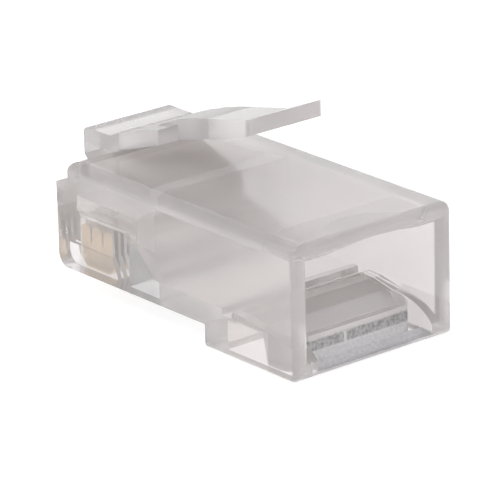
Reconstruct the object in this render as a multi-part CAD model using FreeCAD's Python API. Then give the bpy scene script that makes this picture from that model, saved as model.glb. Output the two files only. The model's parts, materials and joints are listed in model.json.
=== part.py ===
import FreeCAD, Part
import os
from FreeCAD import Vector as V

# Eight-way modular plug: one clear moulding with a flexing latch and two
# clamp bars on thin hinges, and eight contact blades pressed into its slots.
# Millimetres. +Y points to the nose (the way the plug enters a jack), +Z is
# the latch side, X runs across. Dimensions below are laid out from the rear
# (cable) face at y = 0; the whole model is moved back by half the distance
# to the front of the latch root at the end, so the origin is the middle of
# the footprint.

# ---- body envelope ----
BODY_W = 11.68          # width across the flanks
BODY_L = 21.46          # rear face to nose
ROOT_L = 22.30          # rear face to the front of the latch root
REAR_H = 7.98           # height of the rear (cable) section
REAR_L = 8.08           # length of the deep rear section
STEP_H = 1.36           # the front section's underside stands this far up
LIP_Z = 6.52            # top of the low lip at the nose
LIP_L = 1.10            # length of that lip
R_NOSE = 0.80           # nose corner, contact side
R_TOP = 0.65            # long edges on the latch side
R_BOT = 0.20            # long edges on the contact side
R_REAR = 0.42           # all round the rear face
R_SH = 0.60             # upper front edge behind the lip

# ---- cable cavity ----
CAV_HX = 4.75           # half width
CAV_TOP = 6.85          # ceiling
R_MOUTH = 0.50          # bell mouth at the sides and the ceiling
ARCH_HX = 4.00          # arch in the ceiling at the mouth, half width
ARCH_H = 0.46           # its rise
ARCH_L = 3.00           # its length
CAV_L = 12.85           # length of the full-height part
RAMP = [(0.0, 0.93), (0.20, 1.17), (0.58, 1.45), (1.17, 1.76), (1.77, 1.955),
        (2.40, 2.075), (3.20, 2.14)]
BEND_Y, BEND_Z = 4.90, 2.46
FLOOR_Z = 2.48
GROOVE_Y0, GROOVE_Y1, GROOVE_Z = 6.05, 6.95, 2.08

# ---- conductor space ----
FUN_L = 1.75            # length over which the floor rises and the ceiling drops
MID_HX = 4.62           # half width at the end of that
CON_HX = 4.27           # half width beside the conductors
CON_Y = 16.60           # where the sides reach it
CON_Z0, CON_Z1 = 4.00, 5.72
CON_END = 15.80         # where the ribs between the conductors start
CH_R = 0.44             # conductor groove radius
CH_Z = 4.78             # conductor axis, top of the ribs
CH_END = 20.40
PITCH = 1.02
N = 8

# ---- contact slots ----
BLADE_T = 0.32
SLOT_W = 0.38           # snug upper slot
SLOT_WIDE = 0.64        # relieved lower slot, open at the nose
SLOT_WIDE_Z = 2.58
BL_Y0, BL_Y1 = 17.45, 20.40
BL_TOP = 4.00

# ---- clamp-bar windows ----
JW_HX = 4.20            # jacket clamp window, half width
JW_Y1 = 6.75            # front wall of the die pocket
JW_Y2 = 6.05            # front edge of the window over it
JW_Z = 1.80             # ceiling of the die pocket ahead of the window
WEB_L = 1.00            # web the jacket bar hangs on
WEB_Z0, WEB_Z1 = 0.33, 0.50
J_GAP = 0.08
R_BAR = 1.50            # rear upright corners of the jacket bar
CW_HX = 4.20            # conductor clamp pocket
CW_Y0, CW_Y1 = 12.88, 15.62
C_GAP = 0.06

# ---- latch ----
LA_HX = 3.08            # wide part, half width
LA_NECK = 1.60
LA_TAIL = 2.75
ROOT_Y = 19.72          # rear face of the root block
ROOT_Z = 8.10           # where the root ends and the lever begins
ROOT_TOP = 9.06
SH_Y = 15.20            # locking shoulders
NECK_Y = 9.20           # where the tab starts to flare
TAB_Y = 7.75
END_Y = 7.50


def poly(pts, axis="x", at=0.0):
    if axis == "x":
        vs = [V(at, a, b) for a, b in pts]
    else:
        vs = [V(a, b, at) for a, b in pts]
    return Part.Face(Part.Wire(Part.makePolygon(vs + [vs[0]])))


def prism_x(pts, hx):
    return poly(pts, "x", -hx).extrude(V(2 * hx, 0, 0))


def box(x0, x1, y0, y1, z0, z1):
    return Part.makeBox(x1 - x0, y1 - y0, z1 - z0, V(x0, y0, z0))


def near(a, b, t=1e-3):
    return abs(a - b) < t


def pick(shape, test):
    out = []
    for e in shape.Edges:
        ps = [v.Point for v in e.Vertexes]
        if len(ps) == 2 and test(ps[0], ps[1]):
            out.append(e)
    return out


def arc(p, m, q):
    return Part.Arc(V(*p), V(*m), V(*q)).toShape()


HW = BODY_W / 2
XS = [(i - (N - 1) / 2) * PITCH for i in range(N)]

# =============================== housing ===============================
# side profile with the nose corner and the upper front edge, cut to the section
t = 2 ** 0.5 / 2
y_sh = BODY_L - LIP_L


def side_line(p, q):
    return Part.makeLine(V(-HW, *p), V(-HW, *q))


def side_arc(cy, cz, r, sy, sz):
    """Quarter round about (cy, cz) whose ends lie at sy and sz times r from it."""
    return arc((-HW, cy, cz + sz * r), (-HW, cy + sy * r * t, cz + sz * r * t), (-HW, cy + sy * r, cz))


profile = [side_line((0, 0), (REAR_L, 0)), side_line((REAR_L, 0), (REAR_L, STEP_H)),
           side_line((REAR_L, STEP_H), (BODY_L - R_NOSE, STEP_H)),
           side_arc(BODY_L - R_NOSE, STEP_H + R_NOSE, R_NOSE, 1, -1),
           side_line((BODY_L, STEP_H + R_NOSE), (BODY_L, LIP_Z)),
           side_line((BODY_L, LIP_Z), (y_sh, LIP_Z)), side_line((y_sh, LIP_Z), (y_sh, REAR_H - R_SH)),
           side_arc(y_sh - R_SH, REAR_H - R_SH, R_SH, 1, 1),
           side_line((y_sh - R_SH, REAR_H), (0, REAR_H)), side_line((0, REAR_H), (0, 0))]
outer = Part.Face(Part.Wire(profile)).extrude(V(BODY_W, 0, 0))


def sect_line(p, q):
    return Part.makeLine(V(p[0], 0, p[1]), V(q[0], 0, q[1]))


def sect_arc(cx, cz, r, sx, sz):
    return arc((cx + sx * r, 0, cz), (cx + sx * r * t, 0, cz + sz * r * t), (cx, 0, cz + sz * r))


section = [sect_line((-HW + R_BOT, 0), (HW - R_BOT, 0)), sect_arc(HW - R_BOT, R_BOT, R_BOT, 1, -1),
           sect_line((HW, R_BOT), (HW, REAR_H - R_TOP)), sect_arc(HW - R_TOP, REAR_H - R_TOP, R_TOP, 1, 1),
           sect_line((HW - R_TOP, REAR_H), (-HW + R_TOP, REAR_H)),
           sect_arc(-HW + R_TOP, REAR_H - R_TOP, R_TOP, -1, 1),
           sect_line((-HW, REAR_H - R_TOP), (-HW, R_BOT)), sect_arc(-HW + R_BOT, R_BOT, R_BOT, -1, -1)]
outer = outer.common(Part.Face(Part.Wire(Part.__sortEdges__(section))).extrude(V(0, BODY_L, 0)))
if outer.ShapeType != "Solid":
    outer = outer.Solids[0]
# all round the rear face, then the front edge of the deep section
outer = outer.makeFillet(R_REAR, [e for e in outer.Edges
                                  if all(near(v.Point.y, 0) for v in e.Vertexes)])
outer = outer.makeFillet(0.22, [e for e in outer.Edges
                                if len(e.Vertexes) == 2
                                and all(near(v.Point.z, 0) and near(v.Point.y, REAR_L)
                                        for v in e.Vertexes)])
# root block of the latch, standing a little ahead of the nose
root = prism_x([(ROOT_Y, LIP_Z - 0.5), (BODY_L - 0.5, LIP_Z - 0.5), (BODY_L, LIP_Z),
                (ROOT_L, LIP_Z + 0.85), (ROOT_L, ROOT_Z), (ROOT_Y, ROOT_Z)], LA_HX)
body = outer.fuse(root).removeSplitter()

# cable cavity: side section and plan section, each with its bell mouth
sp = Part.BSplineCurve()
sp.interpolate([V(-HW, y, z) for y, z in RAMP])
r = R_MOUTH
X = -HW
side = [sp.toShape()]
pts = [(RAMP[-1][0], RAMP[-1][1]), (BEND_Y, BEND_Z), (5.6, FLOOR_Z), (CAV_L, FLOOR_Z),
       (CAV_L, CAV_TOP), (r, CAV_TOP)]
side += [Part.makeLine(V(X, *pts[i]), V(X, *pts[i + 1])) for i in range(len(pts) - 1)]
side.append(arc((X, r, CAV_TOP), (X, r * (1 - t), CAV_TOP + r * (1 - t)), (X, 0, CAV_TOP + r)))
pts = [(0, CAV_TOP + r), (-0.5, CAV_TOP + r), (-0.5, RAMP[0][1]), RAMP[0]]
side += [Part.makeLine(V(X, *pts[i]), V(X, *pts[i + 1])) for i in range(len(pts) - 1)]
side_cut = Part.Face(Part.Wire(side)).extrude(V(BODY_W, 0, 0))
h = CAV_HX
plan_w = [Part.makeLine(V(-h, r, 0.5), V(-h, CAV_L, 0.5)), Part.makeLine(V(-h, CAV_L, 0.5), V(h, CAV_L, 0.5)),
          Part.makeLine(V(h, CAV_L, 0.5), V(h, r, 0.5)),
          arc((h, r, 0.5), (h + r * (1 - t), r * (1 - t), 0.5), (h + r, 0, 0.5)),
          Part.makeLine(V(h + r, 0, 0.5), V(h + r, -0.5, 0.5)),
          Part.makeLine(V(h + r, -0.5, 0.5), V(-h - r, -0.5, 0.5)),
          Part.makeLine(V(-h - r, -0.5, 0.5), V(-h - r, 0, 0.5)),
          arc((-h - r, 0, 0.5), (-h - r * (1 - t), r * (1 - t), 0.5), (-h, r, 0.5))]
plan_cut = Part.Face(Part.Wire(plan_w)).extrude(V(0, 0, 8))
cavity = side_cut.common(plan_cut)
# the ceiling is scooped to a shallow arch that runs out inside the mouth
z_a = CAV_TOP - 0.02
scoop = Part.Face(Part.Wire([arc((-ARCH_HX, -0.1, z_a), (0, -0.1, z_a + ARCH_H), (ARCH_HX, -0.1, z_a)),
                             Part.makeLine(V(ARCH_HX, -0.1, z_a), V(-ARCH_HX, -0.1, z_a))]))
scoop = scoop.extrude(V(0, ARCH_L, -ARCH_H - 0.02))


def rect(y, hx, z0, z1):
    return Part.Wire(Part.makePolygon([V(-hx, y, z0), V(hx, y, z0), V(hx, y, z1),
                                       V(-hx, y, z1), V(-hx, y, z0)]))


y_f = CAV_L + FUN_L
funnel = Part.makeLoft([rect(CAV_L, CAV_HX, FLOOR_Z, CAV_TOP),
                        rect(y_f, MID_HX, CON_Z0, CON_Z1)], True, True)
taper = Part.makeLoft([rect(y_f, MID_HX, CH_Z, CON_Z1),
                       rect(CON_Y, CON_HX, CH_Z, CON_Z1)], True, True)
chamber = box(-CON_HX, CON_HX, CON_Y - 0.01, CH_END, CH_Z, CON_Z1)
landing = box(-CON_HX, CON_HX, y_f - 0.01, CON_END, CON_Z0, CH_Z + 0.1)
groove = box(-CAV_HX, CAV_HX, GROOVE_Y0, GROOVE_Y1, GROOVE_Z, GROOVE_Z + 1.0)
voids = [cavity, scoop, funnel, taper, chamber, landing, groove]
for x in XS:
    voids.append(Part.makeCylinder(CH_R, CH_END - CON_END + 0.4,
                                   V(x, CON_END - 0.4, CH_Z), V(0, 1, 0)))
# jacket clamp window over its die pocket, web left at the rear face
voids.append(box(-JW_HX, JW_HX, WEB_L, JW_Y2, -0.1, 3.2))
voids.append(box(-JW_HX, JW_HX, JW_Y2 - 0.1, JW_Y1, -0.1, JW_Z))
voids.append(prism_x([(-0.1, WEB_Z0), (WEB_L + 0.01, WEB_Z1), (WEB_L + 0.01, 3.2),
                      (-0.1, 3.2)], JW_HX))
# conductor clamp pocket and window
voids.append(box(-CW_HX, CW_HX, CW_Y0, CW_Y1, STEP_H - 0.1, CON_Z0 + 0.2))
# contact slots
for x in XS:
    s = box(x - SLOT_W / 2, x + SLOT_W / 2, BL_Y0 - 0.04, BL_Y1 + 0.04,
            STEP_H - 0.1, CH_Z)
    wide = poly([(16.90, STEP_H - 0.1), (16.95, 1.50), (17.07, 1.86), (17.25, 2.28),
                 (17.39, SLOT_WIDE_Z), (BODY_L + 0.1, SLOT_WIDE_Z),
                 (BODY_L + 0.1, STEP_H - 0.1)], "x", x - SLOT_WIDE / 2)
    voids.append(s)
    voids.append(wide.extrude(V(SLOT_WIDE, 0, 0)))

cut = voids[0]
cut = cut.multiFuse(voids[1:])
housing = body.cut(cut)
if housing.ShapeType != "Solid":
    housing = max(housing.Solids, key=lambda s: s.Volume)

# =============================== latch lever ===============================
# One lever: flat top over the root, a wide part that rises to the two locking
# shoulders, a narrow neck standing a little proud and a finger tab that flares.
wide_side = [(ROOT_L, ROOT_Z), (ROOT_L, ROOT_TOP), (19.75, ROOT_TOP),
             (17.92, 9.76), (SH_Y, 10.50), (SH_Y, 9.56), (ROOT_Y, ROOT_Z)]
wide_part = prism_x(wide_side, LA_HX)
neck_side = [(SH_Y + 1.9, 9.40), (SH_Y + 1.9, 9.99), (16.70, 10.20), (14.94, 10.89),
             (13.47, 11.28), (NECK_Y, 12.19), (END_Y, 12.84), (END_Y, 11.88),
             (NECK_Y, 11.16), (11.0, 10.60), (13.0, 10.12), (SH_Y, 9.56)]
tail = prism_x(neck_side, LA_TAIL)
plan = poly([(-LA_NECK, SH_Y + 2.0), (-LA_NECK, NECK_Y), (-LA_TAIL, TAB_Y),
             (-LA_TAIL, END_Y), (LA_TAIL, END_Y), (LA_TAIL, TAB_Y),
             (LA_NECK, NECK_Y), (LA_NECK, SH_Y + 2.0)], "z", 9.0)
tail = tail.common(plan.extrude(V(0, 0, 5)))
lever = wide_part.fuse(tail).removeSplitter()
# eased edges: front top corner and finger tab
lever = lever.makeFillet(0.40, pick(lever, lambda a, b:
    near(a.y, ROOT_L) and near(b.y, ROOT_L)
    and ((near(a.z, ROOT_TOP) and near(b.z, ROOT_TOP)))))
lever = lever.makeFillet(0.20, pick(lever, lambda a, b:
    near(a.y, END_Y) and near(b.y, END_Y) and near(abs(a.x), LA_TAIL) and near(a.x, b.x)))
if lever.ShapeType != "Solid":
    lever = lever.Solids[0]

# =============================== clamp bars ===============================
# Jacket bar: its top carries the cavity floor on, its front face is hollow.
hx = JW_HX - J_GAP
ya = 1.47
ye = WEB_L + 0.02
jb_pts = [(ya, sp.value(sp.parameter(V(-HW, ya, 1.87))).z)] + [p for p in RAMP if p[0] > ya + 0.1]
sp2 = Part.BSplineCurve()
sp2.interpolate([V(-hx, y, z) for y, z in jb_pts])
chain = [jb_pts[-1], (BEND_Y, BEND_Z), (5.6, FLOOR_Z), (JW_Y2 - 0.03, FLOOR_Z), (JW_Y2 - 0.03, JW_Z),
         (3.78, JW_Z), (3.52, 0.90), (3.35, 0.0),
         (ye, 0.0), (ye, WEB_Z1), (1.36, 0.87), jb_pts[0]]
edges = [sp2.toShape()] + [Part.makeLine(V(-hx, *chain[i]), V(-hx, *chain[i + 1]))
                           for i in range(len(chain) - 1)]
jacket_bar = Part.Face(Part.Wire(edges)).extrude(V(2 * hx, 0, 0))
# its rear upright corners are eased
r = R_BAR
plan_w = [Part.makeLine(V(-hx, 7, -0.1), V(-hx, ye + r, -0.1)),
          arc((-hx, ye + r, -0.1), (-hx + r * (1 - t), ye + r * (1 - t), -0.1), (-hx + r, ye, -0.1)),
          Part.makeLine(V(-hx + r, ye, -0.1), V(hx - r, ye, -0.1)),
          arc((hx - r, ye, -0.1), (hx - r * (1 - t), ye + r * (1 - t), -0.1), (hx, ye + r, -0.1)),
          Part.makeLine(V(hx, ye + r, -0.1), V(hx, 7, -0.1)),
          Part.makeLine(V(hx, 7, -0.1), V(-hx, 7, -0.1))]
jacket_bar = jacket_bar.common(Part.Face(Part.Wire(plan_w)).extrude(V(0, 0, 4)))
if jacket_bar.ShapeType != "Solid":
    jacket_bar = jacket_bar.Solids[0]

cb = [(CW_Y0, FLOOR_Z), (y_f, CON_Z0), (CW_Y1 - 0.12, CON_Z0), (CW_Y1 - 0.12, 2.55),
      (14.10, 2.85), (13.70, 2.40), (CW_Y0 + 0.02, 2.28)]
conductor_bar = prism_x(cb, CW_HX - C_GAP)

# =============================== contacts ===============================
b = STEP_H
zt = BL_TOP
blade = poly([(BL_Y0 + 0.50, b), (BL_Y1 - 0.35, b), (BL_Y1, b + 0.35), (BL_Y1, zt - 0.25),
              (BL_Y1 - 0.22, zt), (19.72, zt), (19.56, zt - 0.25), (19.52, 2.98), (19.42, 2.98),
              (19.38, zt - 0.25), (19.20, zt), (18.64, zt), (18.46, zt - 0.25),
              (18.42, 2.98), (18.32, 2.98), (18.28, zt - 0.25), (18.12, zt),
              (BL_Y0 + 0.22, zt), (BL_Y0, zt - 0.25), (BL_Y0, b + 0.75), (BL_Y0 + 0.12, b + 0.32)],
             "x", -BLADE_T / 2).extrude(V(BLADE_T, 0, 0))

parts = {"housing": housing, "latch_lever": lever, "jacket_clamp_bar": jacket_bar,
         "conductor_clamp_bar": conductor_bar}
for i, x in enumerate(XS):
    c = blade.copy()
    c.translate(V(x, 0, 0))
    parts["contact_%d" % (i + 1)] = c

os.makedirs("parts", exist_ok=True)
for name, shape in parts.items():
    s = shape.copy()
    s.translate(V(0, -ROOT_L / 2, 0))
    if s.ShapeType != "Solid" and len(s.Solids) == 1:
        s = s.Solids[0]
    bb = s.BoundBox
    print(name, s.ShapeType, "valid", s.isValid(), "solids", len(s.Solids),
          "vol %.3f" % s.Volume, "faces", len(s.Faces),
          "y %.2f %.2f z %.2f %.2f" % (bb.YMin + ROOT_L / 2, bb.YMax + ROOT_L / 2, bb.ZMin, bb.ZMax))
    s.exportStep("parts/%s.step" % name)
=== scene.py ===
import json
import math

import bmesh
import bpy
import numpy as np
from mathutils import Matrix, Vector


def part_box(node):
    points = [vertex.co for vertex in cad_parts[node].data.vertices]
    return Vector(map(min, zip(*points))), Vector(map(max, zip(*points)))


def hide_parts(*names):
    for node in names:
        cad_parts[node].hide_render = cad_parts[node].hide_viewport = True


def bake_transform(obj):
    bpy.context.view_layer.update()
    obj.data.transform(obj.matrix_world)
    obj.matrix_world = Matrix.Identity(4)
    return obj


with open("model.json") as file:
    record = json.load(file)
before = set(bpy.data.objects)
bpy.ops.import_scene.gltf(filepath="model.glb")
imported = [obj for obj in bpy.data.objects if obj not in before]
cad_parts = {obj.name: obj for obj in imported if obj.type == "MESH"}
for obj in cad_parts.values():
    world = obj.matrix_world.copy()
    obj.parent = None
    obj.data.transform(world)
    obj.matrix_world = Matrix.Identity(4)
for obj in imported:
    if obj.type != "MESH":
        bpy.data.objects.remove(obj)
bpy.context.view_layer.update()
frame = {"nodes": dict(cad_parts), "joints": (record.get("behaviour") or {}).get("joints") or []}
nodes = frame["nodes"]
scene = bpy.context.scene
MM = 0.001

# the record's own numbers, used to place everything
joints = {j["name"]: j for j in frame["joints"]}
press = joints["latch_press"]["pos_m"]          # hinge line of the latch
h_lo, h_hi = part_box("housing")
l_lo, l_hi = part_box("latch_lever")
jb_lo, jb_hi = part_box("jacket_clamp_bar")
cb_lo, cb_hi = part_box("conductor_clamp_bar")
c1_lo, c1_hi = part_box("contact_1")
REAR = h_lo.y                                   # rear face
NOSE = 21.46 * MM + REAR


# ------------------------------------------------------------------ meshes
def remove_split_faces(bm, z):
    """The latch root is one piece of plastic: drop the two faces on its split plane."""
    gone = [f for f in bm.faces if all(abs(v.co.z - z) < 2e-6 for v in f.verts)]
    bmesh.ops.delete(bm, geom=gone, context="FACES")


def bm_from(mesh, is_lever):
    """A bmesh that carries the CAD surface normals and where each point came from."""
    bm = bmesh.new()
    bm.from_mesh(mesh)
    cn = bm.loops.layers.float_vector.new("cn")
    lev = bm.verts.layers.int.new("is_lever")
    normals = [c.vector.copy() for c in mesh.corner_normals]
    i = 0
    for f in bm.faces:
        for l in f.loops:
            l[cn] = normals[i]
            i += 1
    for v in bm.verts:
        v[lev] = is_lever
    return bm


def make_moulding():
    bm = bm_from(nodes["housing"].data, 0)
    remove_split_faces(bm, press[2])
    lv = bm_from(nodes["latch_lever"].data, 1)
    remove_split_faces(lv, press[2])
    # cuts across the bending stretch of the lever
    for k in range(1, 6):
        y = press[1] - 2.3 * MM * k / 6
        bmesh.ops.bisect_plane(lv, geom=lv.verts[:] + lv.edges[:] + lv.faces[:],
                               plane_co=(0, y, 0), plane_no=(0, 1, 0), dist=1e-7)
    tmp = bpy.data.meshes.new("tmp_lever")
    lv.to_mesh(tmp)
    lv.free()
    bm.from_mesh(tmp)
    bpy.data.meshes.remove(tmp)
    bmesh.ops.remove_doubles(bm, verts=bm.verts, dist=1.5e-6)
    bmesh.ops.dissolve_degenerate(bm, edges=bm.edges[:], dist=1e-7)
    bad = [e for e in bm.edges if not e.is_manifold]
    print("moulding: open edges", len(bad), "faces", len(bm.faces))
    for f in bm.faces:
        f.smooth = True
    me = bpy.data.meshes.new("moulding")
    bm.to_mesh(me)
    bm.free()
    flat = np.zeros(len(me.loops) * 3, np.float32)
    me.attributes["cn"].data.foreach_get("vector", flat)
    me.attributes.remove(me.attributes["cn"])
    cn = flat.reshape(-1, 3)
    cn /= np.maximum(np.linalg.norm(cn, axis=1, keepdims=True), 1e-9)
    me.normals_split_custom_set([Vector(v) for v in cn])
    o = bpy.data.objects.new("moulding", me)
    scene.collection.objects.link(o)
    return o


moulding = make_moulding()
me = moulding.data
co = np.array([v.co for v in me.vertices], float)
lever = np.zeros(len(co), np.int32)
me.attributes["is_lever"].data.foreach_get("value", lever)
me.attributes.remove(me.attributes["is_lever"])


# ------------------------------------------------------------------ materials
def new_mat(name):
    m = bpy.data.materials.new(name)
    m.use_nodes = True
    nt = m.node_tree
    nt.nodes.clear()
    out = nt.nodes.new("ShaderNodeOutputMaterial")
    bsdf = nt.nodes.new("ShaderNodeBsdfPrincipled")
    nt.links.new(bsdf.outputs[0], out.inputs["Surface"])
    return m, nt, bsdf, out


def node(nt, kind, **kw):
    n = nt.nodes.new(kind)
    for k, v in kw.items():
        if k in n.inputs:
            n.inputs[k].default_value = v
        else:
            setattr(n, k, v)
    return n


CLEAR = 0.82


def span(nt, sock, lo, hi, soft):
    """1 where lo < sock < hi, 0 outside, with soft ends."""
    L = nt.links.new
    a = node(nt, "ShaderNodeMapRange", clamp=True)
    a.inputs["From Min"].default_value = lo - soft
    a.inputs["From Max"].default_value = lo + soft
    L(sock, a.inputs["Value"])
    b = node(nt, "ShaderNodeMapRange", clamp=True)
    b.inputs["From Min"].default_value = hi - soft
    b.inputs["From Max"].default_value = hi + soft
    b.inputs["To Min"].default_value = 1.0
    b.inputs["To Max"].default_value = 0.0
    L(sock, b.inputs["Value"])
    m = node(nt, "ShaderNodeMath", operation="MULTIPLY")
    L(a.outputs[0], m.inputs[0])
    L(b.outputs[0], m.inputs[1])
    return m.outputs[0]


def zone(nt, xyz, box, soft=(0.02, 0.02, 0.02)):
    """Mask of an axis-aligned box in object space, from separated coordinates."""
    out = None
    for s, (lo, hi), w in zip(xyz, box, soft):
        m = span(nt, s, lo, hi, w * MM)
        if out is None:
            out = m
        else:
            mm = node(nt, "ShaderNodeMath", operation="MULTIPLY")
            nt.links.new(out, mm.inputs[0])
            nt.links.new(m, mm.inputs[1])
            out = mm.outputs[0]
    return out


def plastic(name, rough=0.03, zones=(), tint=(0.955, 0.920, 0.914)):
    """Clear, slightly milky polycarbonate."""
    m, nt, b, out = new_mat(name)
    L = nt.links.new
    tc = node(nt, "ShaderNodeTexCoord")
    b.inputs["Transmission Weight"].default_value = CLEAR
    b.inputs["IOR"].default_value = 1.585
    # colour: faint cloudiness from the flow of the melt
    n1 = node(nt, "ShaderNodeTexNoise", Scale=220.0, Detail=3.0, Roughness=0.5)
    L(tc.outputs["Object"], n1.inputs["Vector"])
    r1 = node(nt, "ShaderNodeValToRGB")
    r1.color_ramp.elements[0].position = 0.3
    r1.color_ramp.elements[1].position = 0.7
    c = tint
    r1.color_ramp.elements[0].color = (c[0] * 0.965, c[1] * 0.96, c[2] * 0.96, 1)
    r1.color_ramp.elements[1].color = (c[0], c[1], c[2], 1)
    L(n1.outputs["Fac"], r1.inputs["Fac"])
    # roughness: polished, with slightly duller patches
    n2 = node(nt, "ShaderNodeTexNoise", Scale=900.0, Detail=4.0, Roughness=0.6)
    L(tc.outputs["Object"], n2.inputs["Vector"])
    mr = node(nt, "ShaderNodeMapRange")
    mr.inputs["From Min"].default_value = 0.35
    mr.inputs["From Max"].default_value = 0.75
    mr.inputs["To Min"].default_value = rough * 0.5
    mr.inputs["To Max"].default_value = rough * 1.8
    L(n2.outputs["Fac"], mr.inputs["Value"])
    bump = node(nt, "ShaderNodeBump", Strength=0.10, Distance=0.00002)
    n3 = node(nt, "ShaderNodeTexNoise", Scale=420.0, Detail=2.0, Roughness=0.45)
    L(tc.outputs["Object"], n3.inputs["Vector"])
    sep = node(nt, "ShaderNodeSeparateXYZ")
    L(tc.outputs["Object"], sep.inputs[0])
    grain = node(nt, "ShaderNodeTexNoise", Scale=7000.0, Detail=2.0, Roughness=0.7)
    L(tc.outputs["Object"], grain.inputs["Vector"])
    rsock, hsock, csock = mr.outputs[0], n3.outputs["Fac"], r1.outputs["Color"]
    # eroded (matt) parts of the mould, and zones with painted light and shade: (box, roughness, how much grain,
    # negative for a painted reflection, colours)
    tsock = None
    for zbox, zr, zg, zc, zt, *soft in zones:
        mask = zone(nt, sep.outputs, zbox, *soft)
        if zt is not None:
            tm = node(nt, "ShaderNodeMix", data_type="FLOAT")
            L(mask, tm.inputs["Factor"])
            if tsock is None:
                tm.inputs["A"].default_value = CLEAR
            else:
                L(tsock, tm.inputs["A"])
            tm.inputs["B"].default_value = zt
            tsock = tm.outputs[0]
        if zc:
            cr = node(nt, "ShaderNodeValToRGB")
            cr.color_ramp.elements[0].position = 0.38
            cr.color_ramp.elements[1].position = 0.62
            cr.color_ramp.elements[0].color = (*zc[0], 1)
            cr.color_ramp.elements[1].color = (*zc[1], 1)
            if zg < 0:      # streaks along the part: a painted reflection of the blades mirrored in the ribs
                sn = node(nt, "ShaderNodeTexNoise", Scale=2400.0, Detail=2.0, Roughness=0.55)
                sm = node(nt, "ShaderNodeMapping")
                sm.inputs["Scale"].default_value = (1.0, 0.26, 1.0)
                L(tc.outputs["Object"], sm.inputs["Vector"])
                L(sm.outputs[0], sn.inputs["Vector"])
            else:
                sn = node(nt, "ShaderNodeTexNoise", Scale=5200.0 if zg else 260.0, Detail=3.0, Roughness=0.75 if zg else 0.4)
                L(tc.outputs["Object"], sn.inputs["Vector"])
            L(sn.outputs["Fac"], cr.inputs["Fac"])
            cm = node(nt, "ShaderNodeMix", data_type="RGBA")
            L(mask, cm.inputs[0])
            L(csock, cm.inputs[6])
            L(cr.outputs["Color"], cm.inputs[7])
            csock = cm.outputs[2]
        gr = node(nt, "ShaderNodeMapRange")
        gr.inputs["To Min"].default_value = zr * (0.75 if zg > 0 else 0.95)
        gr.inputs["To Max"].default_value = zr * (1.25 if zg > 0 else 1.05)
        L(grain.outputs["Fac"], gr.inputs["Value"])
        mix = node(nt, "ShaderNodeMix", data_type="FLOAT")
        L(mask, mix.inputs["Factor"])
        L(rsock, mix.inputs["A"])
        L(gr.outputs[0], mix.inputs["B"])
        rsock = mix.outputs[0]
        if zg > 0:
            gm = node(nt, "ShaderNodeMath", operation="MULTIPLY")
            gm.inputs[1].default_value = zg
            L(grain.outputs["Fac"], gm.inputs[0])
            hm = node(nt, "ShaderNodeMix", data_type="FLOAT")
            L(mask, hm.inputs["Factor"])
            L(hsock, hm.inputs["A"])
            L(gm.outputs[0], hm.inputs["B"])
            hsock = hm.outputs[0]
    L(csock, b.inputs["Base Color"])
    if tsock is not None:
        L(tsock, b.inputs["Transmission Weight"])
    L(rsock, b.inputs["Roughness"])
    L(hsock, bump.inputs["Height"])
    L(bump.outputs[0], b.inputs["Normal"])
    ab = node(nt, "ShaderNodeVolumeScatter")
    ab.inputs["Color"].default_value = (0.975, 0.965, 0.965, 1)
    ab.inputs["Density"].default_value = 60.0
    ab.inputs["Anisotropy"].default_value = 0.3
    L(ab.outputs[0], out.inputs["Volume"])
    return m


def gold(name):
    m, nt, b, out = new_mat(name)
    L = nt.links.new
    tc = node(nt, "ShaderNodeTexCoord")
    mp = node(nt, "ShaderNodeMapping")
    mp.inputs["Scale"].default_value = (1.0, 3.0, 0.35)
    L(tc.outputs["Object"], mp.inputs["Vector"])
    n1 = node(nt, "ShaderNodeTexNoise", Scale=2600.0, Detail=4.0, Roughness=0.6)
    L(mp.outputs[0], n1.inputs["Vector"])
    r1 = node(nt, "ShaderNodeValToRGB")
    r1.color_ramp.elements[0].position = 0.3
    r1.color_ramp.elements[1].position = 0.72
    r1.color_ramp.elements[0].color = (0.66, 0.47, 0.24, 1)
    r1.color_ramp.elements[1].color = (0.88, 0.70, 0.42, 1)
    L(n1.outputs["Fac"], r1.inputs["Fac"])
    L(r1.outputs["Color"], b.inputs["Base Color"])
    b.inputs["Metallic"].default_value = 1.0
    mr = node(nt, "ShaderNodeMapRange")
    mr.inputs["To Min"].default_value = 0.14
    mr.inputs["To Max"].default_value = 0.34
    L(n1.outputs["Fac"], mr.inputs["Value"])
    L(mr.outputs[0], b.inputs["Roughness"])
    bump = node(nt, "ShaderNodeBump", Strength=0.25, Distance=0.00001)
    L(n1.outputs["Fac"], bump.inputs["Height"])
    L(bump.outputs[0], b.inputs["Normal"])
    return m


def zb(x0, x1, y0, y1, z0, z1):
    """A box in millimetres from the rear face, in the row frame."""
    return ((x0 * MM, x1 * MM), (y0 * MM + REAR, y1 * MM + REAR), (z0 * MM, z1 * MM))


HAZE = ((0.84, 0.80, 0.795), (0.86, 0.82, 0.815))
MILKY = ((0.70, 0.668, 0.662), (0.76, 0.728, 0.722))
BLUISH = ((0.60, 0.61, 0.645), (0.74, 0.75, 0.78))
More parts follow.
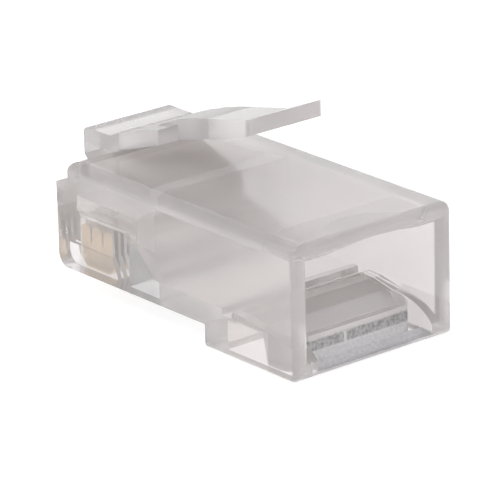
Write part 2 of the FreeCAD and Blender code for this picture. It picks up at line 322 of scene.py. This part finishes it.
# box, roughness, grain, colours, transmission
clear = plastic("clear_polycarbonate", zones=[
    (zb(-5.30, 5.30, 0.05, 14.7, 2.55, 7.42), 0.24, 0, ((0.885, 0.855, 0.85), (0.90, 0.87, 0.865)), None),   # cavity walls and ceiling
    (zb(-4.80, 4.80, 12.9, 20.6, 4.25, 6.80), 0.34, 0, ((0.955, 0.92, 0.915), (0.975, 0.94, 0.935)), 0.68),      # funnel, conductor space and its ribs
    (zb(-4.20, 4.20, 0.40, 3.10, 6.80, 7.40), 0.55, 0, ((0.93, 0.895, 0.89), (0.95, 0.915, 0.91)), 0.70, (0.3, 0.5, 0.02)),   # arch of the mouth
    (zb(-4.80, 4.80, 14.7, 20.6, 3.90, 5.40), 0.20, -1, ((0.66, 0.565, 0.455), (0.975, 0.94, 0.935)), 0.74, (0.02, 0.8, 0.3)),   # ribs between the conductors, with brownish streaks: painted reflection of the gold blades
    (zb(-3.95, 3.95, 16.8, 20.5, 1.40, 2.62), 0.16, 0, ((0.74, 0.70, 0.68), (0.78, 0.74, 0.72)), None),      # relieved lower slots
    (zb(-5.80, 5.80, 12.30, 15.70, 1.30, 1.40), 0.20, 0, BLUISH, None),  # underside beside the conductor clamp
    (zb(-4.30, 4.30, 12.80, 15.70, 1.20, 4.10), 0.22, 0, BLUISH, None),  # conductor clamp pocket
    (zb(-5.80, 5.80, 15.70, 21.6, 1.30, 1.40), 0.15, 0, MILKY, None),    # underside at the nose
    (zb(-5.20, 5.20, 0.30, 20.0, 7.90, 8.05), 0.16, 0, HAZE, 0.74),      # latch-side face
    (zb(-5.90, -5.75, 12.1, 21.7, 1.20, 2.30), 0.05, 0, ((0.80, 0.772, 0.772), (0.83, 0.80, 0.80)), None, (0.02, 0.4, 0.4)),   # low on the flanks
    (zb(5.75, 5.90, 12.1, 21.7, 1.20, 2.30), 0.05, 0, ((0.80, 0.772, 0.772), (0.83, 0.80, 0.80)), None, (0.02, 0.4, 0.4)),
    (zb(-5.20, 5.20, 14.2, 20.0, 7.90, 8.05), 0.16, 0, ((0.955, 0.915, 0.91), (0.975, 0.935, 0.93)), 0.74, (0.1, 1.5, 0.02)),   # paler over the nose: painted light, lifting the top where the latch shades it
    (zb(4.50, 5.90, 0.30, 20.0, 7.30, 8.05), 0.16, 0, ((0.775, 0.742, 0.737), (0.795, 0.761, 0.756)), 0.74, (0.4, 0.2, 0.02)),   # its long edges (this and the next line), darker: painted shade for the dark lines along them
    (zb(-5.90, -4.50, 0.30, 20.0, 7.30, 8.05), 0.16, 0, ((0.775, 0.742, 0.737), (0.795, 0.761, 0.756)), 0.74, (0.4, 0.2, 0.02)),
    (zb(-3.5, 3.5, 7.0, 23.0, 8.12, 13.5), 0.10, 0, ((0.80, 0.765, 0.76), (0.83, 0.795, 0.79)), 0.68),        # latch
    (zb(-3.14, 3.14, 7.0, 12.4, 8.12, 13.5), 0.14, 0, ((0.84, 0.805, 0.80), (0.87, 0.833, 0.828)), 0.62),    # top and underside of the tab
    (zb(-3.14, 3.14, 12.4, 19.0, 8.12, 13.5), 0.30, 0, ((0.74, 0.712, 0.708), (0.77, 0.741, 0.737)), 0.70),   # top and underside of the lever
    (zb(-3.14, 3.14, 19.0, 22.2, 8.12, 13.5), 0.14, 0, ((0.70, 0.672, 0.668), (0.73, 0.70, 0.696)), 0.62),    # top of its root
    (zb(-3.5, 3.5, 22.2, 23.0, 7.0, 13.5), 0.14, 0, ((0.64, 0.616, 0.612), (0.67, 0.644, 0.64)), 0.68),       # front of its root
    (zb(-4.3, 4.3, 6.03, 6.80, 1.70, 2.60), 0.50, 0, ((0.95, 0.92, 0.915), (0.96, 0.93, 0.925)), 0.45),  # front edge of the clamp window
    (zb(4.16, 4.90, 0.05, 3.2, 0.2, 2.45), 0.22, 0, MILKY, None),        # cheeks beside the clamp window
    (zb(-4.90, -4.16, 0.05, 3.2, 0.2, 2.45), 0.22, 0, MILKY, None),
    (zb(-4.2, 4.2, -0.1, 1.01, 0.28, 0.55), 0.45, 1.0, ((0.68, 0.69, 0.73), (0.96, 0.96, 0.98)), None),  # sloped top of the web
])
bar_clear = plastic("jacket_bar_polycarbonate", zones=[
    (zb(-4.3, 4.3, 0.9, 1.60, 0.92, 1.56), 0.55, 1.5, ((0.20, 0.195, 0.20), (0.62, 0.61, 0.62)), None, (0.02, 0.02, 0.08)),   # dark band, matt and grainy; its dark colour is painted shade of the recessed band
    (zb(-4.3, 4.3, 0.9, 1.60, -0.1, 0.92), 0.45, 1.2, ((0.80, 0.80, 0.83), (0.98, 0.97, 0.99)), 0.60, (0.02, 0.02, 0.08)),    # lighter matt band
    (zb(-4.3, 4.3, 3.85, 5.98, 1.72, 1.88), 0.45, 0, ((0.95, 0.92, 0.915), (0.96, 0.93, 0.925)), 0.50),   # matt ceiling of the hollow
    (zb(-1.12, -0.92, 0.9, 1.50, 0.80, 1.52), 0.30, 0, ((0.90, 0.88, 0.88), (0.95, 0.93, 0.93)), None),
    (zb(-4.3, 4.3, 3.3, 3.9, -0.1, 1.90), 0.50, 0, ((0.97, 0.95, 0.95), (0.98, 0.96, 0.96)), 0.45),       # matt front face, hollow
    (zb(-4.3, 4.3, 5.9, 6.1, 1.70, 2.80), 0.50, 0, ((0.95, 0.92, 0.915), (0.96, 0.93, 0.925)), 0.45)])    # matt front edge
cond_clear = plastic("conductor_bar_polycarbonate")
gold_m = gold("gold_plated_bronze")

moulding.data.materials.append(clear)
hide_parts("housing", "latch_lever")
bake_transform(moulding)
# bend weights, not applied here: 1 on the lever, easing to 0 across the bending stretch, 0 on the rest of the
# moulding
w = np.clip((press[1] - co[:, 1]) / (2.3 * MM), 0, 1)
w = w * w * (3 - 2 * w) * lever

for n, o in nodes.items():
    if n in ("housing", "latch_lever"):
        continue
    o.data.materials.clear()
    if n.startswith("contact"):
        o.data.materials.append(gold_m)
    else:
        o.data.materials.append(bar_clear if n.startswith("jacket") else cond_clear)

# ------------------------------------------------------------------ stage
bm = bmesh.new()
R = 3.0
N = 64
c0 = bm.verts.new((0, 0, 0))
ring = [bm.verts.new((R * math.cos(2 * math.pi * i / N), R * math.sin(2 * math.pi * i / N), 0)) for i in range(N)]
for i in range(N):
    bm.faces.new((c0, ring[i], ring[(i + 1) % N]))
fm = bpy.data.meshes.new("floor")
bm.to_mesh(fm)
bm.free()
floor = bpy.data.objects.new("floor", fm)
floor.location.z = h_lo.z - 0.00002
scene.collection.objects.link(floor)
m, nt, b, out = new_mat("floor_white")
b.inputs["Roughness"].default_value = 0.9
tc = node(nt, "ShaderNodeTexCoord")
n1 = node(nt, "ShaderNodeTexNoise", Scale=60.0, Detail=3.0)
nt.links.new(tc.outputs["Object"], n1.inputs["Vector"])
r1 = node(nt, "ShaderNodeValToRGB")
r1.color_ramp.elements[0].color = (0.33, 0.33, 0.33, 1)
r1.color_ramp.elements[1].color = (0.35, 0.35, 0.35, 1)
nt.links.new(n1.outputs["Fac"], r1.inputs["Fac"])
nt.links.new(r1.outputs["Color"], b.inputs["Base Color"])
b.inputs["Emission Color"].default_value = (1, 1, 1, 1)
b.inputs["Emission Strength"].default_value = 0.81
fm.materials.append(m)

world = bpy.data.worlds.new("studio")
scene.world = world
world.use_nodes = True
wn = world.node_tree
wn.nodes.clear()
wo = wn.nodes.new("ShaderNodeOutputWorld")
bg = wn.nodes.new("ShaderNodeBackground")
wn.links.new(bg.outputs[0], wo.inputs["Surface"])
wtc = wn.nodes.new("ShaderNodeTexCoord")
sep = wn.nodes.new("ShaderNodeSeparateXYZ")
wn.links.new(wtc.outputs["Generated"], sep.inputs[0])
ramp = wn.nodes.new("ShaderNodeValToRGB")
e = ramp.color_ramp.elements
e[0].position = 0.0
e[0].color = (1.0, 1.0, 1.0, 1)
e[1].position = 1.0
e[1].color = (1.0, 1.0, 1.0, 1)
a = e.new(0.25)
a.color = (1.0, 1.0, 1.0, 1)
a = e.new(0.6)
a.color = (0.95, 0.95, 0.95, 1)
wn.links.new(sep.outputs["Z"], ramp.inputs["Fac"])
wn.links.new(ramp.outputs["Color"], bg.inputs["Color"])
bg.inputs["Strength"].default_value = 0.90


def area(name, loc, target, size, power, color=(1, 1, 1)):
    d = bpy.data.lights.new(name, "AREA")
    d.shape = "RECTANGLE"
    d.size, d.size_y = size
    d.energy = power
    d.color = color
    o = bpy.data.objects.new(name, d)
    o.location = loc
    o.rotation_mode = "QUATERNION"
    o.rotation_quaternion = (Vector(target) - Vector(loc)).to_track_quat("-Z", "Y")
    scene.collection.objects.link(o)
    return o


area("key", (-0.25, -0.10, 0.45), (0, 0, 0.005), (0.30, 0.30), 0.5)
area("fill", (0.35, 0.25, 0.30), (0, 0, 0.005), (0.35, 0.35), 0.1)

# ------------------------------------------------------------------ camera
cam_d = bpy.data.cameras.new("cam")
cam_d.sensor_width = 36.0
cam_d.sensor_fit = "HORIZONTAL"
cam_d.lens = 4180.69 / 500 * 36
cam_d.clip_start = 0.01
cam_d.clip_end = 20
cam = bpy.data.objects.new("cam", cam_d)
scene.collection.objects.link(cam)
AZ, EL, ROLL = math.radians(-39.03), math.radians(19.913), math.radians(-1.452)
T = Vector((7.029, -6.064, -233.519))
back = Vector((math.sin(AZ) * math.cos(EL), -math.cos(AZ) * math.cos(EL), math.sin(EL)))
right = Vector((0, 0, 1)).cross(back).normalized()
up = back.cross(right)
right2 = right * math.cos(ROLL) + up * math.sin(ROLL)
up2 = -right * math.sin(ROLL) + up * math.cos(ROLL)
M = Matrix((right2, up2, back))
C = -(M.transposed() @ T)
C = Vector((C.x, C.y, C.z)) * MM + Vector((0, REAR, 0))
mw = Matrix.Identity(4)
for i in range(3):
    mw[i][0], mw[i][1], mw[i][2], mw[i][3] = right2[i], up2[i], back[i], C[i]
cam.matrix_world = mw
scene.camera = cam

scene.view_settings.view_transform = "Standard"
scene.view_settings.look = "None"
scene.cycles.max_bounces = 24
scene.cycles.glossy_bounces = 16
scene.cycles.transmission_bounces = 20
scene.cycles.transparent_max_bounces = 16
scene.cycles.volume_bounces = 8
